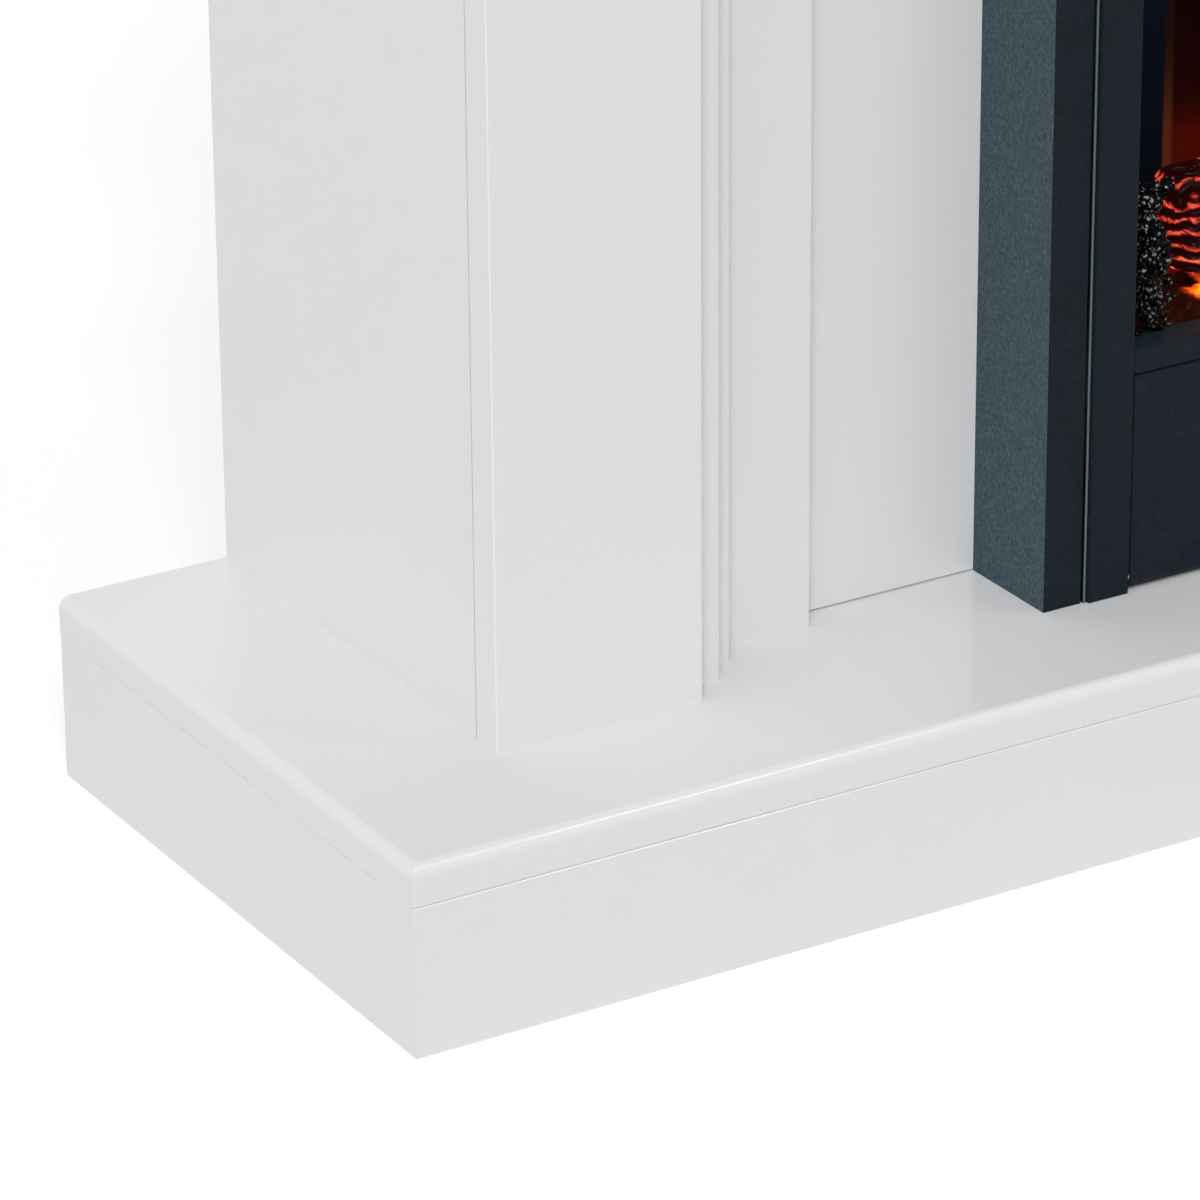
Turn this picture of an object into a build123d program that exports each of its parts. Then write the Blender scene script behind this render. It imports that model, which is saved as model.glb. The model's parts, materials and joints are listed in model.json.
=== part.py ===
"""Electric fireplace suite: lacquered board surround and hearth with an electric fire set into its back panel.

Millimetres. +Z up, the front faces -Y, and the origin is at the bottom centre of the whole suite.
"""

import math
import os

from build123d import *

# ------------------------------------------------------------------ driving dimensions
# surround and hearth
HEARTH_WIDTH = 1372.0
HEARTH_DEPTH = 380.0
HEARTH_HEIGHT = 104.0
SLAB = 22.0  # hearth slab, header front and mantel shelf
LEG_BOARD = 20.0  # leg fronts
BOARD = 18.0  # hidden carcass boards
SHEET_BOARD = 16.0  # slips and back panel
EDGE_ROUND = 6.5  # round on the top edge of both slabs
EDGE_ROUND_UNDER = 0.8
SKIRT_CHAMFER = 0.9  # along the skirt's top edge, under the slab
ARRIS = 0.8  # eased edge of a lacquered board
SKIRT_INSET = 0.3  # hearth skirt behind the slab's edge
LEG_INSET = 100.0  # leg's outer face from the end of the hearth
LEG_SETBACK = 91.0  # leg's front face from the hearth's front
LEG_WIDTH = 121.0
LEG_LIP = 0.3  # leg front stands this far outside the leg's side
LEG_GAP = 1.5  # shadow gap between the leg's front and its outer side
STEP = 16.0  # each step from the leg front down to the back panel
REVEAL_WIDTH = 20.0
BEAD_WIDTH = 16.0
SLIP_WIDTH = 59.0
TOTAL_HEIGHT = 1150.0
SURROUND_TOP = 1084.0  # top of the legs
FRAME_TOP = 814.0  # lower edge of the top slip
SHELF_OVERHANG = 60.0
SHELF_FRONT_OVERHANG = 61.0
MOULDING_WIDTH = 40.0
OPENING_WIDTH = 406.0  # back panel's opening for the fire
OPENING_HEIGHT = 559.0
PANEL_GAP = 0.8  # shadow gap under the back panel

# electric fire
FIRE_WIDTH = 514.0
FIRE_HEIGHT = 610.0
FIRE_PROJECTION = 66.0  # outer trim in front of the back panel
TRIM_FACE = 23.4
FRAME_FACE = 25.2
FRAME_PROUD = 3.0  # inner frame in front of the outer trim
SEAM = 3.4  # channel between the outer trim and the inner frame
BEAD = 1.2  # bright bead standing in that channel
BEAD_PROUD = 1.3  # bead in front of the outer trim
SHEET = 1.5
THIN_SHEET = 1.2
RAIL_HEIGHT = 14.0
FLAP_HEIGHT = 118.0
FLAP_DEPTH = 12.0
SCREEN_HALF_WIDTH = 153.0
CASING_WIDTH = 400.0
CASING_DEPTH = 165.0

# ------------------------------------------------------------------ places worked out from them
half_width = HEARTH_WIDTH / 2
front_y = -HEARTH_DEPTH / 2
rear_y = HEARTH_DEPTH / 2
slab_bottom = HEARTH_HEIGHT - SLAB
leg_outer = half_width - LEG_INSET
leg_inner = leg_outer - LEG_WIDTH
reveal_inner = leg_inner - REVEAL_WIDTH
bead_inner = reveal_inner - BEAD_WIDTH
slip_inner = bead_inner - SLIP_WIDTH
leg_y = front_y + LEG_SETBACK
reveal_y = leg_y + STEP
bead_y = reveal_y + STEP
slip_y = bead_y + STEP
panel_y = slip_y + STEP
slip_top = FRAME_TOP + SLIP_WIDTH
bead_top = slip_top + BEAD_WIDTH
shelf_bottom = TOTAL_HEIGHT - SLAB
carcass_y = leg_y + LEG_BOARD  # front of everything behind the leg's front board

fire_x = FIRE_WIDTH / 2
fire_top = HEARTH_HEIGHT + FIRE_HEIGHT
trim_y = panel_y - FIRE_PROJECTION
frame_y = trim_y - FRAME_PROUD
frame_outer = fire_x - TRIM_FACE - SEAM
frame_inner = frame_outer - FRAME_FACE
frame_outer_top = fire_top - TRIM_FACE - SEAM
frame_inner_top = frame_outer_top - FRAME_FACE
web_y = trim_y + 3.5  # front of the chassis web, which carries the trims
chassis_inner = frame_inner + 0.5
chassis_floor_z = HEARTH_HEIGHT + 1.0
compartment_floor = chassis_floor_z + SHEET
flap_bottom = HEARTH_HEIGHT + 4.5
flap_top = flap_bottom + FLAP_HEIGHT
rail_bottom = flap_top + SHEET
rail_top = rail_bottom + RAIL_HEIGHT
tray_top = rail_bottom + SHEET
flap_y = frame_y + 1.0
flap_half = frame_inner - SHEET
hinge_y = flap_y + 2.5
hinge_z = flap_bottom + 4.0
PIN_R = 2.0
control_y = -64.0
screen_y = -20.0
cheek_front = (frame_inner - 1.5, web_y + 2.0)
cheek_rear = (SCREEN_HALF_WIDTH + 1.0, screen_y - 0.5)
roof_z = 628.0
casing_x = CASING_WIDTH / 2
casing_front = panel_y
casing_rear = casing_front + CASING_DEPTH
casing_bottom = HEARTH_HEIGHT + 2.8
casing_top = 657.2
spindle_y, spindle_z = 25.0, 190.0
spindle_half = 150.0
blower_y, blower_z = 45.0, 622.0
BLOWER_R = 24.0
blower_half = 118.0
HEATER_END = 130.0
blower_bush = (-HEATER_END - 3, blower_y, blower_z)
gland_x, gland_z = 150.0, 140.0

SIDES = (-1, 1)  # left, right


# ------------------------------------------------------------------ helpers
def save(builder, name):
    """Writes one finished piece as its own node."""
    builder.part.label = name
    export_step(builder.part, f"parts/{name}.step")


def save_set(shapes, name):
    """Writes a set of like pieces as one node. They touch at most, and each stays its own solid."""
    pieces = Compound([solid for shape in shapes for solid in shape.solids()])
    pieces.label = name
    export_step(pieces, f"parts/{name}.step")


def box(x0, x1, y0, y1, z0, z1, mode=Mode.ADD):
    """A rectangular block between two corners, in whichever part is being built."""
    with Locations(((x0 + x1) / 2, (y0 + y1) / 2, (z0 + z1) / 2)):
        Box(abs(x1 - x0), abs(y1 - y0), abs(z1 - z0), mode=mode)


def board(x0, x1, y0, y1, z0, z1, ease=None):
    """A plain board, with the edges along one axis eased if one is given."""
    with BuildPart() as made:
        box(x0, x1, y0, y1, z0, z1)
        if ease is not None:
            fillet(made.edges().filter_by(ease), ARRIS)
    return made


def from_plan(points, z0, z1):
    """A board cut to an outline seen from above."""
    with BuildPart() as made:
        with BuildSketch(Plane.XY.offset(z0)):
            with BuildLine():
                Polyline(*points, close=True)
            make_face()
        extrude(amount=z1 - z0)
    return made


def from_front(points, y0, y1):
    """A board cut to an outline seen from the front, as (x, z) points."""
    with BuildPart() as made:
        with BuildSketch(Plane.XZ.offset(-y1)):
            with BuildLine():
                Polyline(*points, close=True)
            make_face()
        extrude(amount=y1 - y0)
    return made


def from_side(points, x0, x1):
    """A length of profile running along X, from (y, z) points."""
    with BuildPart() as made:
        with BuildSketch(Plane.YZ.offset(x0)):
            with BuildLine():
                Polyline(*points, close=True)
            make_face()
        extrude(amount=x1 - x0)
    return made


def mirrored(points, side):
    """The same outline for the left (-1) or right (1) of the suite."""
    return [(side * x, y) for x, y in points]


def slab_edges(made, top_round, under_round):
    """Rounds a slab's front and end edges, above and below. The edge at the wall stays square."""
    for last, radius in ((-1, top_round), (0, under_round)):
        face = made.faces().filter_by(Axis.Z).sort_by(Axis.Z)[last]
        fillet(face.edges().sort_by(Axis.Y)[:-1], radius)


def cylinder_along(axis, centre, radius, length, mode=Mode.ADD):
    """A cylinder along X, Y or Z, centred on a point."""
    turn = {"x": (0, 90, 0), "y": (90, 0, 0), "z": (0, 0, 0)}[axis]
    with Locations(Location(centre, turn)):
        Cylinder(radius, length, mode=mode)


# ------------------------------------------------------------------ screws, shared by the pieces they pass through
SCREW_R = 2.0
HEAD_R = 4.0
HEAD_H = 2.2
leg_screws = [
    (side * (leg_inner + 51), y, HEARTH_HEIGHT + BOARD) for side in SIDES for y in (-30, 140)
]
cleat_screws = [(side * (reveal_inner - 9), panel_y, z) for side in SIDES for z in (330, 640)]
flange_screws = [(side * 226, panel_y - SHEET, z) for side in SIDES for z in (250, 560)]
cover_screws = [(side * 188, casing_rear + THIN_SHEET, z) for side in SIDES for z in (130, 382, 634)]


def screw_holes_down(places, depth):
    """Clearance holes below each place, for screws driven downwards."""
    for x, y, z in places:
        cylinder_along("z", (x, y, z - depth / 2), SCREW_R, depth, Mode.SUBTRACT)


def screw_holes_through(places, depth, side):
    """Holes along Y from each place, towards +Y (side 1) or -Y (side -1)."""
    for x, y, z in places:
        cylinder_along("y", (x, y + side * depth / 2, z), SCREW_R, depth, Mode.SUBTRACT)


# ------------------------------------------------------------------ hearth
def make_hearth():
    with BuildPart() as hearth_top:
        box(-half_width, half_width, front_y, rear_y, slab_bottom, HEARTH_HEIGHT)
        slab_edges(hearth_top, EDGE_ROUND, EDGE_ROUND_UNDER)
        screw_holes_down([(x, y, HEARTH_HEIGHT) for x, y, z in leg_screws], SLAB)
    save(hearth_top, "hearth_top")

    skirt_x = half_width - SKIRT_INSET
    skirt_y = front_y + SKIRT_INSET
    front = from_plan(
        [
            (-skirt_x, skirt_y),
            (skirt_x, skirt_y),
            (skirt_x - BOARD, skirt_y + BOARD),
            (-skirt_x + BOARD, skirt_y + BOARD),
        ],
        0,
        slab_bottom,
    )
    with front:
        front_face = front.faces().sort_by(Axis.Y)[0]
        chamfer(front_face.edges().filter_by(Axis.X).sort_by(Axis.Z)[-1], SKIRT_CHAMFER)
    skirt = [front.part]
    for side in SIDES:
        end = from_plan(
            mirrored(
                [
                    (skirt_x, skirt_y),
                    (skirt_x - BOARD, skirt_y + BOARD),
                    (skirt_x - BOARD, rear_y),
                    (skirt_x, rear_y),
                ],
                side,
            ),
            0,
            slab_bottom,
        )
        with end:
            outer_face = end.faces().sort_by(Axis.X)[-1 if side > 0 else 0]
            chamfer(outer_face.edges().filter_by(Axis.Y).sort_by(Axis.Z)[-1], SKIRT_CHAMFER)
        skirt.append(end.part)
    save_set(skirt, "hearth_skirt_boards")

    with BuildPart() as battens:
        for x in (-340, 0, 340):
            box(x - BOARD / 2, x + BOARD / 2, skirt_y + BOARD, rear_y - BOARD, 0, slab_bottom)
    save(battens, "hearth_battens")


# ------------------------------------------------------------------ legs
def make_legs():
    fronts, outer_sides, inner_sides, all_rails = [], [], [], []
    for side in SIDES:
        with BuildPart() as front:
            box(side * leg_outer, side * leg_inner, leg_y, carcass_y, HEARTH_HEIGHT, SURROUND_TOP)
            fillet(front.edges().filter_by(Axis.Z).group_by(Axis.Y)[0], ARRIS)
        fronts.append(front.part)
        outer = side * (leg_outer - LEG_LIP)
        outer_back = outer - side * BOARD
        with BuildPart() as outer_side:
            box(outer, outer_back, carcass_y + LEG_GAP, rear_y, HEARTH_HEIGHT, SURROUND_TOP)
        outer_sides.append(outer_side.part)
        with BuildPart() as inner_side:
            box(side * leg_inner, side * reveal_inner, reveal_y, rear_y, HEARTH_HEIGHT, SURROUND_TOP)
            front_edge = inner_side.edges().filter_by(Axis.Z).group_by(Axis.Y)[0]
            fillet(front_edge.sort_by(Axis.X)[0 if side > 0 else -1], ARRIS)
        inner_sides.append(inner_side.part)
        with BuildPart() as rails:
            for z in (HEARTH_HEIGHT, 585, SURROUND_TOP - BOARD):
                box(outer_back, side * leg_inner, carcass_y, rear_y, z, z + BOARD)
            screw_holes_down([p for p in leg_screws if p[0] * side > 0], BOARD)
        all_rails.append(rails.part)
    save_set(fronts, "leg_fronts")
    save_set(outer_sides, "leg_outer_sides")
    save_set(inner_sides, "leg_inner_sides")
    save_set(all_rails, "leg_rails")

    with BuildPart() as screws:
        for x, y, z in leg_screws:
            cylinder_along("z", (x, y, z + HEAD_H / 2), HEAD_R, HEAD_H)
            cylinder_along("z", (x, y, z - 19), SCREW_R, 38)
        for x, y, z in cleat_screws:
            cylinder_along("y", (x, y + 14, z), SCREW_R, 28)
    save(screws, "surround_fixings")


# ------------------------------------------------------------------ stepped frame and back panel
def make_stepped_frame():
    frames = {"bead": [], "slip": []}
    for side in SIDES:
        bead = [
            (reveal_inner, HEARTH_HEIGHT),
            (bead_inner, HEARTH_HEIGHT),
            (bead_inner, slip_top),
            (reveal_inner, bead_top),
        ]
        slip = [
            (bead_inner, HEARTH_HEIGHT),
            (slip_inner, HEARTH_HEIGHT),
            (slip_inner, FRAME_TOP),
            (bead_inner, slip_top),
        ]
        for outline, y, piece in ((bead, bead_y, "bead"), (slip, slip_y, "slip")):
            made = from_front(mirrored(outline, side), y, panel_y)
            with made:
                front_edges = made.faces().sort_by(Axis.Y)[0].edges().filter_by(Axis.Z)
                fillet(front_edges.sort_by(Axis.X)[0 if side > 0 else -1], ARRIS)
            frames[piece].append(made.part)
    for outer, inner, top, bottom, y, piece in (
        (reveal_inner, bead_inner, bead_top, slip_top, bead_y, "bead"),
        (bead_inner, slip_inner, slip_top, FRAME_TOP, slip_y, "slip"),
    ):
        made = from_front([(-outer, top), (-inner, bottom), (inner, bottom), (outer, top)], y, panel_y)
        with made:
            front_edges = made.faces().sort_by(Axis.Y)[0].edges().filter_by(Axis.X)
            fillet(front_edges.sort_by(Axis.Z)[0], ARRIS)
        frames[piece].append(made.part)
    save_set(frames["bead"], "stepped_beads")
    save_set(frames["slip"], "slip_boards")

    opening_x = OPENING_WIDTH / 2
    bottom = HEARTH_HEIGHT + PANEL_GAP
    opening_top = HEARTH_HEIGHT + OPENING_HEIGHT
    back_panel = from_front(
        [
            (-reveal_inner, bottom),
            (-opening_x, bottom),
            (-opening_x, opening_top),
            (opening_x, opening_top),
            (opening_x, bottom),
            (reveal_inner, bottom),
            (reveal_inner, bead_top),
            (-reveal_inner, bead_top),
        ],
        panel_y,
        panel_y + SHEET_BOARD,
    )
    with back_panel:
        screw_holes_through(cleat_screws + flange_screws, SHEET_BOARD, 1)
    save(back_panel, "back_panel")

    with BuildPart() as cleats:
        for side in SIDES:
            panel_back = panel_y + SHEET_BOARD
            box(
                side * reveal_inner, side * (reveal_inner - BOARD), panel_back, panel_back + BOARD, 140, 860
            )
        screw_holes_through([(x, y + SHEET_BOARD, z) for x, y, z in cleat_screws], 12, 1)
    save(cleats, "panel_cleats")


# ------------------------------------------------------------------ header and mantel shelf
def make_header():
    with BuildPart() as header_front:
        box(-reveal_inner, reveal_inner, reveal_y, reveal_y + SLAB, bead_top, SURROUND_TOP)
        fillet(header_front.edges().filter_by(Axis.X).group_by(Axis.Y)[0].sort_by(Axis.Z)[0], ARRIS)
    save(header_front, "header_front")
    save(
        board(-reveal_inner, reveal_inner, reveal_y + SLAB, rear_y, bead_top, bead_top + BOARD),
        "header_soffit",
    )


def make_mantel():
    under_top = SURROUND_TOP + BOARD
    under_x, under_y = leg_outer + BOARD, leg_y - BOARD
    with BuildPart() as under_board:
        box(-under_x, under_x, under_y, rear_y, SURROUND_TOP, under_top)
        slab_edges(under_board, ARRIS, ARRIS)
    save(under_board, "mantel_under_board")

    out_x, out_y = under_x + BOARD, under_y - BOARD
    width = MOULDING_WIDTH
    front = from_plan(
        [
            (-out_x, out_y),
            (out_x, out_y),
            (out_x - width, out_y + width),
            (-out_x + width, out_y + width),
        ],
        under_top,
        shelf_bottom,
    )
    moulding = [front.part]
    for side in SIDES:
        end = from_plan(
            mirrored(
                [(out_x, out_y), (out_x - width, out_y + width), (out_x - width, rear_y), (out_x, rear_y)],
                side,
            ),
            under_top,
            shelf_bottom,
        )
        moulding.append(end.part)
    save_set(moulding, "mantel_moulding")
    with BuildPart() as shelf:
        shelf_x = leg_outer + SHELF_OVERHANG
        box(-shelf_x, shelf_x, leg_y - SHELF_FRONT_OVERHANG, rear_y, shelf_bottom, TOTAL_HEIGHT)
        slab_edges(shelf, EDGE_ROUND, EDGE_ROUND_UNDER)
    save(shelf, "mantel_shelf")


def make_back_rails():
    """The boards that close the back of the hearth, the header and the mantel."""
    hearth_x = half_width - SKIRT_INSET - BOARD
    mantel_x = leg_outer + 2 * BOARD - MOULDING_WIDTH
    rails = [
        board(-x, x, rear_y - BOARD, rear_y, z0, z1).part
        for x, z0, z1 in (
            (hearth_x, 0, slab_bottom),
            (reveal_inner, bead_top + BOARD, SURROUND_TOP),
            (mantel_x, SURROUND_TOP + BOARD, shelf_bottom),
        )
    ]
    save_set(rails, "back_rails")


# ------------------------------------------------------------------ wall brackets
BRACKET_LEG = 40.0
BRACKET_T = 2.0
BRACKET_HOLE_R = 3.25
bracket_heights = (300.0, 780.0)
bracket_hole_x = reveal_inner - 23.0


def make_wall_brackets():
    with BuildPart() as brackets:
        for side in SIDES:
            for z in bracket_heights:
                face = side * reveal_inner
                z0, z1 = z - BRACKET_LEG / 2, z + BRACKET_LEG / 2
                box(face, face - side * BRACKET_T, rear_y - BRACKET_LEG, rear_y, z0, z1)
                box(face, face - side * BRACKET_LEG, rear_y - BRACKET_T, rear_y, z0, z1)
                hole = (side * bracket_hole_x, rear_y - BRACKET_T / 2, z)
                cylinder_along("y", hole, BRACKET_HOLE_R, BRACKET_T, Mode.SUBTRACT)
    save(brackets, "wall_brackets")


# ------------------------------------------------------------------ fire: trims and frame
def mitre_plane(side, offset):
    """The plane of a 45 degree corner joint: z - side * x = offset. Its normal points up and inwards."""
    return Plane(origin=(0, 0, offset), z_dir=(-side, 0, 1))


def make_bead():
    """Three mitred strips with a rounded nose, halfway between the outer trim and the inner frame."""
    outer = frame_outer + (SEAM + BEAD) / 2
    inner = outer - BEAD
    outer_top = frame_outer_top + (SEAM + BEAD) / 2
    inner_top = outer_top - BEAD
    bottom, nose_y = HEARTH_HEIGHT + 0.5, trim_y - BEAD_PROUD
    strips = []
    for side in SIDES:
        outline = [(outer, bottom), (inner, bottom), (inner, inner_top), (outer, outer_top)]
        strips.append(from_front(mirrored(outline, side), nose_y, web_y))
    outline = [(-outer, outer_top), (-inner, inner_top), (inner, inner_top), (outer, outer_top)]
    strips.append(from_front(outline, nose_y, web_y))
    for strip in strips:
        with strip:
            nose = strip.faces().sort_by(Axis.Y)[0]
            fillet(nose.edges().filter_by(GeomType.LINE).group_by(SortBy.LENGTH)[-1], BEAD * 0.4)
    return strips


def make_trims():
    trim_mitre = fire_top - fire_x
    trims, frame = [], []
    for side in SIDES:
        trim = from_plan(
            mirrored(
                [
                    (fire_x, panel_y),
                    (fire_x, trim_y),
                    (fire_x - TRIM_FACE, trim_y),
                    (fire_x - TRIM_FACE, trim_y + SHEET),
                    (fire_x - SHEET, trim_y + SHEET),
                    (fire_x - SHEET, panel_y),
                ],
                side,
            ),
            HEARTH_HEIGHT,
            fire_top,
        )
        with trim:
            split(bisect_by=mitre_plane(side, trim_mitre), keep=Keep.BOTTOM)
        trims.append(trim.part)
    top = from_side(
        [
            (panel_y, fire_top),
            (trim_y, fire_top),
            (trim_y, fire_top - TRIM_FACE),
            (trim_y + SHEET, fire_top - TRIM_FACE),
            (trim_y + SHEET, fire_top - SHEET),
            (panel_y, fire_top - SHEET),
        ],
        -fire_x,
        fire_x,
    )
    with top:
        for side in SIDES:
            split(bisect_by=mitre_plane(side, trim_mitre), keep=Keep.TOP)
    trims.append(top.part)
    save_set(trims, "outer_trims")

    for side in SIDES:
        stile = from_front(
            mirrored(
                [
                    (frame_outer, HEARTH_HEIGHT + 0.5),
                    (frame_inner, HEARTH_HEIGHT + 0.5),
                    (frame_inner, frame_inner_top),
                    (frame_outer, frame_outer_top),
                ],
                side,
            ),
            frame_y,
            web_y,
        )
        with stile:
            fillet(stile.faces().sort_by(Axis.Y)[0].edges().filter_by(Axis.Z), 0.6)
            cylinder_along(
                "x", (side * (frame_inner + 2), hinge_y, hinge_z), PIN_R + 0.05, 4, Mode.SUBTRACT
            )
        frame.append(stile.part)
    head = from_front(
        [
            (-frame_outer, frame_outer_top),
            (-frame_inner, frame_inner_top),
            (frame_inner, frame_inner_top),
            (frame_outer, frame_outer_top),
        ],
        frame_y,
        web_y,
    )
    with head:
        fillet(head.faces().sort_by(Axis.Y)[0].edges().filter_by(Axis.X), 0.6)
    frame.append(head.part)
    save_set(frame, "inner_frame")

    save_set([strip.part for strip in make_bead()], "bright_bead")

    with BuildPart() as rail:
        box(-frame_inner + ARRIS, frame_inner - ARRIS, flap_y, web_y, rail_bottom, rail_top)
        box(-chassis_inner, chassis_inner, web_y, web_y + 12, rail_bottom, rail_top)
        fillet(rail.faces().sort_by(Axis.Y)[0].edges().filter_by(Axis.X), 0.6)
    save(rail, "fender_rail")


# ------------------------------------------------------------------ fire: chassis and casing
CHASSIS_OUTER = 252.0
FLANGE_OUTER = 240.0
CHASSIS_TOP = 710.0
chassis_inner_top = frame_inner_top + 2.0


def make_chassis():
    mitre = chassis_inner_top - chassis_inner
    folded = []
    for side in SIDES:
        upright = from_plan(
            mirrored(
                [
                    (CHASSIS_OUTER, web_y),
                    (chassis_inner, web_y),
                    (chassis_inner, panel_y),
                    (FLANGE_OUTER, panel_y),
                    (FLANGE_OUTER, panel_y - SHEET),
                    (chassis_inner + SHEET, panel_y - SHEET),
                    (chassis_inner + SHEET, web_y + SHEET),
                    (CHASSIS_OUTER, web_y + SHEET),
                ],
                side,
            ),
            chassis_floor_z,
            CHASSIS_TOP,
        )
        with upright:
            split(bisect_by=mitre_plane(side, mitre), keep=Keep.BOTTOM)
            places = [p for p in flange_screws if p[0] * side > 0]
            screw_holes_through([(x, y - 2, z) for x, y, z in places], 6, 1)
        folded.append(upright.part)
    flange_top = chassis_inner_top + FLANGE_OUTER - chassis_inner
    header = from_side(
        [
            (web_y, CHASSIS_TOP),
            (web_y, chassis_inner_top),
            (panel_y, chassis_inner_top),
            (panel_y, flange_top),
            (panel_y - SHEET, flange_top),
            (panel_y - SHEET, chassis_inner_top + SHEET),
            (web_y + SHEET, chassis_inner_top + SHEET),
            (web_y + SHEET, CHASSIS_TOP),
        ],
        -CHASSIS_OUTER,
        CHASSIS_OUTER,
    )
    with header:
        for side in SIDES:
            split(bisect_by=mitre_plane(side, mitre), keep=Keep.TOP)
    folded.append(header.part)
    save_set(folded, "chassis_frame")


def make_casing():
    walls = []
    for side in SIDES:
        wall = from_plan(
            mirrored(
                [
                    (casing_x - THIN_SHEET, casing_front - 3),
                    (chassis_inner, casing_front - 3),
                    (chassis_inner, casing_front - SHEET),
                    (casing_x, casing_front - SHEET),
                    (casing_x, casing_rear),
                    (casing_x - THIN_SHEET, casing_rear),
                ],
                side,
            ),
            casing_bottom + THIN_SHEET,
            casing_top - THIN_SHEET,
        )
        walls.append(wall.part)
    lid = board(-casing_x, casing_x, casing_front - 3, casing_rear, casing_top - THIN_SHEET, casing_top)
    base_top = casing_bottom + THIN_SHEET
    base = board(-casing_x, casing_x, casing_front + 1, casing_rear, casing_bottom, base_top)
    save_set(walls + [lid.part, base.part], "casing_panels")
    with BuildPart() as cover:
        box(-casing_x, casing_x, casing_rear, casing_rear + THIN_SHEET, casing_bottom, casing_top)
        for z in range(420, 621, 20):
            for x in (-90, 0, 90):
                slot = (x, casing_rear + THIN_SHEET / 2, z)
                with Locations(slot):
                    Box(70, 2 * THIN_SHEET, 5, mode=Mode.SUBTRACT)
        cylinder_along(
            "y", (gland_x, casing_rear + THIN_SHEET / 2, gland_z), 7, 2 * THIN_SHEET, Mode.SUBTRACT
        )
        screw_holes_through(cover_screws, 4, -1)
    save(cover, "rear_cover")
    with BuildPart() as screws:
        for x, y, z in cover_screws:
            cylinder_along("y", (x, y + HEAD_H / 2, z), HEAD_R, HEAD_H)
            cylinder_along("y", (x, y - 4, z), SCREW_R, 8)
        for x, y, z in flange_screws:
            cylinder_along("y", (x, y - HEAD_H / 2, z), HEAD_R, HEAD_H)
            cylinder_along("y", (x, y + 8, z), SCREW_R, 16)
    save(screws, "fire_screws")

    with BuildPart() as feet:
        for x in (-170, 170):
            for y in (0, 110):
                cylinder_along("z", (x, y, (HEARTH_HEIGHT + casing_bottom) / 2), 8, casing_bottom - HEARTH_HEIGHT)
    save(feet, "rubber_feet")

    with BuildPart() as gland:
        outer = casing_rear + THIN_SHEET
        cylinder_along("y", (gland_x, outer - 2, gland_z), 7, 14)
        cylinder_along("y", (gland_x, outer + 2.5, gland_z), 10, 5)
        cylinder_along("y", (gland_x, outer - THIN_SHEET - 2, gland_z), 10, 4)
        cylinder_along("y", (gland_x, outer - 2, gland_z), 4, 20, Mode.SUBTRACT)
    save(gland, "cable_gland")


# ------------------------------------------------------------------ fire: flap and controls
switch_x = (70.0, 104.0, 138.0)
switch_z = 168.0
dial_x = 176.0
ROCKER_TILT = 8.0


def make_flap():
    with BuildPart() as pan:
        box(-flap_half, flap_half, flap_y, flap_y + FLAP_DEPTH, flap_bottom, flap_top)
        box(
            -flap_half + SHEET,
            flap_half - SHEET,
            flap_y + SHEET,
            flap_y + FLAP_DEPTH,
            flap_bottom + SHEET,
            flap_top - SHEET,
            Mode.SUBTRACT,
        )
        fillet(pan.faces().sort_by(Axis.Y)[0].edges(), 0.6)
    save(pan, "lower_flap")
    liner = board(
        -flap_half + SHEET,
        flap_half - SHEET,
        flap_y + FLAP_DEPTH - 1,
        flap_y + FLAP_DEPTH,
        flap_bottom + SHEET,
        flap_top - SHEET,
    )
    save(liner, "flap_liner")
    with BuildPart() as pins:
        for side in SIDES:
            cylinder_along("x", (side * (flap_half + 2.4), hinge_y, hinge_z), PIN_R, 4.8)
    save(pins, "flap_pins")
    with BuildPart() as magnets:
        for x in (-180, 180):
            box(x - 8, x + 8, flap_y + FLAP_DEPTH + 0.5, control_y, flap_top - 8, flap_top)
    save(magnets, "flap_magnets")


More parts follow.
